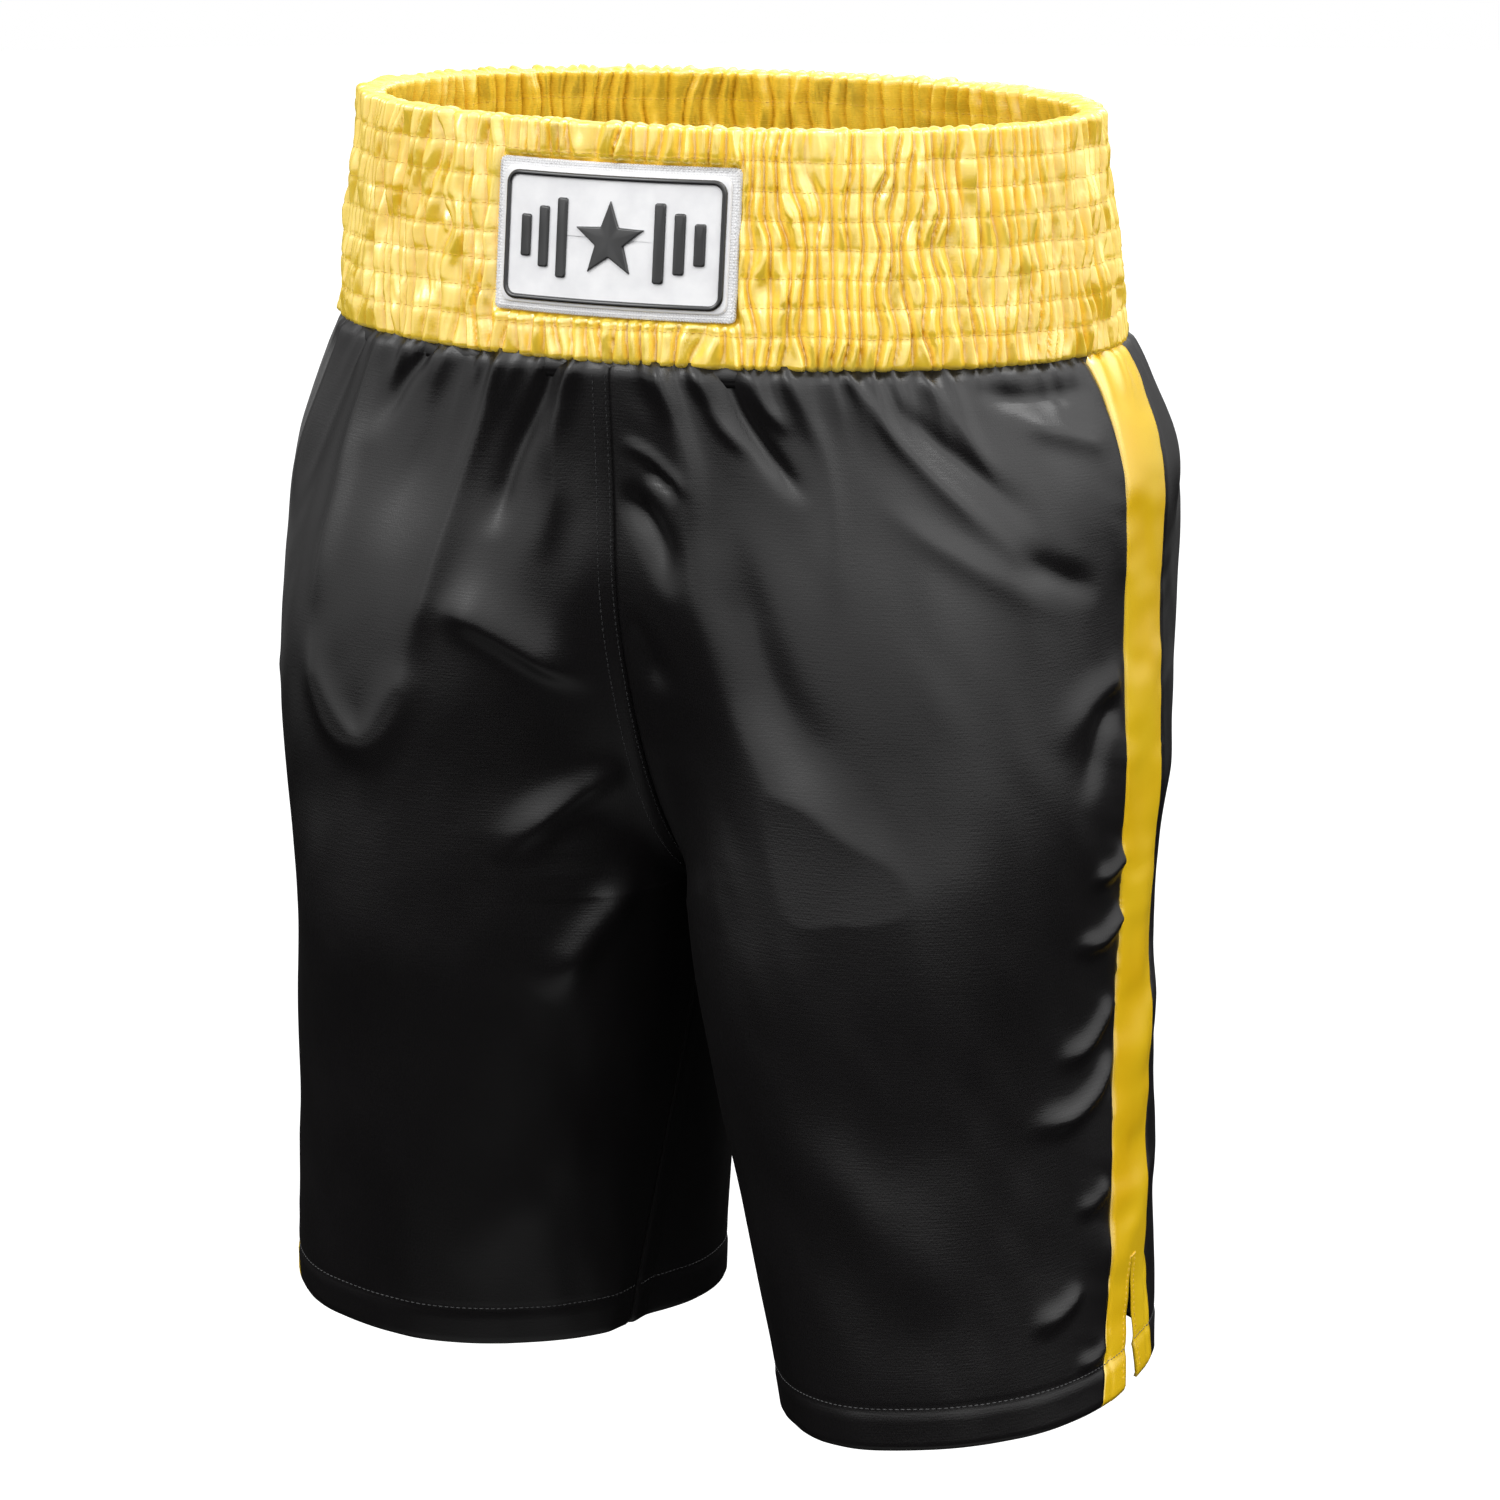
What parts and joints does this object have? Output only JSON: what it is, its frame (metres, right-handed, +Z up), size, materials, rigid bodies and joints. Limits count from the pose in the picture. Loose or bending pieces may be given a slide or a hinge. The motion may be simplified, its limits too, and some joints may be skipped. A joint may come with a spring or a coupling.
{
  "type": "boxing shorts",
  "caption": "Loose knee-length satin boxing shorts with a wide shirred elastic waistband, front patch, side stripes and vented hems.",
  "frame": {"origin": "centre of the waist opening, level with the top edge of the waistband", "axes": "+X to the wearer's left, -Y out of the front, +Z up; the legs hang towards -Z"},
  "size_m": [0.4249, 0.269, 0.583],
  "materials": {
    "gold_satin": "glossy satin",
    "black_satin": "glossy satin",
    "elastic": "matt knitted elastic",
    "seam_thread": "overlocked thread",
    "white_weave": "woven label cloth",
    "white_moulding": "soft moulded, glossy",
    "black_moulding": "soft moulded, glossy"
  },
  "bodies": {
    "garment": {"waistband_cover": "gold_satin", "waistband_elastic": "elastic", "waist_seam": "seam_thread", "front_panel_left": "black_satin", "back_panel_left": "black_satin", "front_panel_right": "black_satin", "back_panel_right": "black_satin", "side_stripe_left": "gold_satin", "side_stripe_right": "gold_satin", "stripe_front_seam_left": "seam_thread", "stripe_back_seam_left": "seam_thread", "stripe_front_seam_right": "seam_thread", "stripe_back_seam_right": "seam_thread", "inseam_left": "seam_thread", "inseam_right": "seam_thread", "front_rise_seam": "seam_thread", "back_rise_seam": "seam_thread", "patch_base": "white_weave", "patch_face": "white_moulding", "patch_frame": "black_moulding", "patch_star": "black_moulding", "patch_bar_left_1": "black_moulding", "patch_bar_left_2": "black_moulding", "patch_bar_left_3": "black_moulding", "patch_bar_right_1": "black_moulding", "patch_bar_right_2": "black_moulding", "patch_bar_right_3": "black_moulding"},
    "tag_leaf": {"outer_tag": "white_weave"},
    "label_leaf": {"care_label": "white_weave"}
  },
  "joints": [
    {"name": "outer_tag_flap", "type": "hinge", "parent": "garment", "child": "tag_leaf", "pos_m": [0.1689, 0.0449, -0.079], "axis": [0.5128, -0.8585, 0], "range_deg": [0, 140]},
    {"name": "care_label_flap", "type": "hinge", "parent": "garment", "child": "label_leaf", "pos_m": [0, 0.113, -0.111], "axis": [-1, 0, 0], "range_deg": [0, 100]}
  ]
}
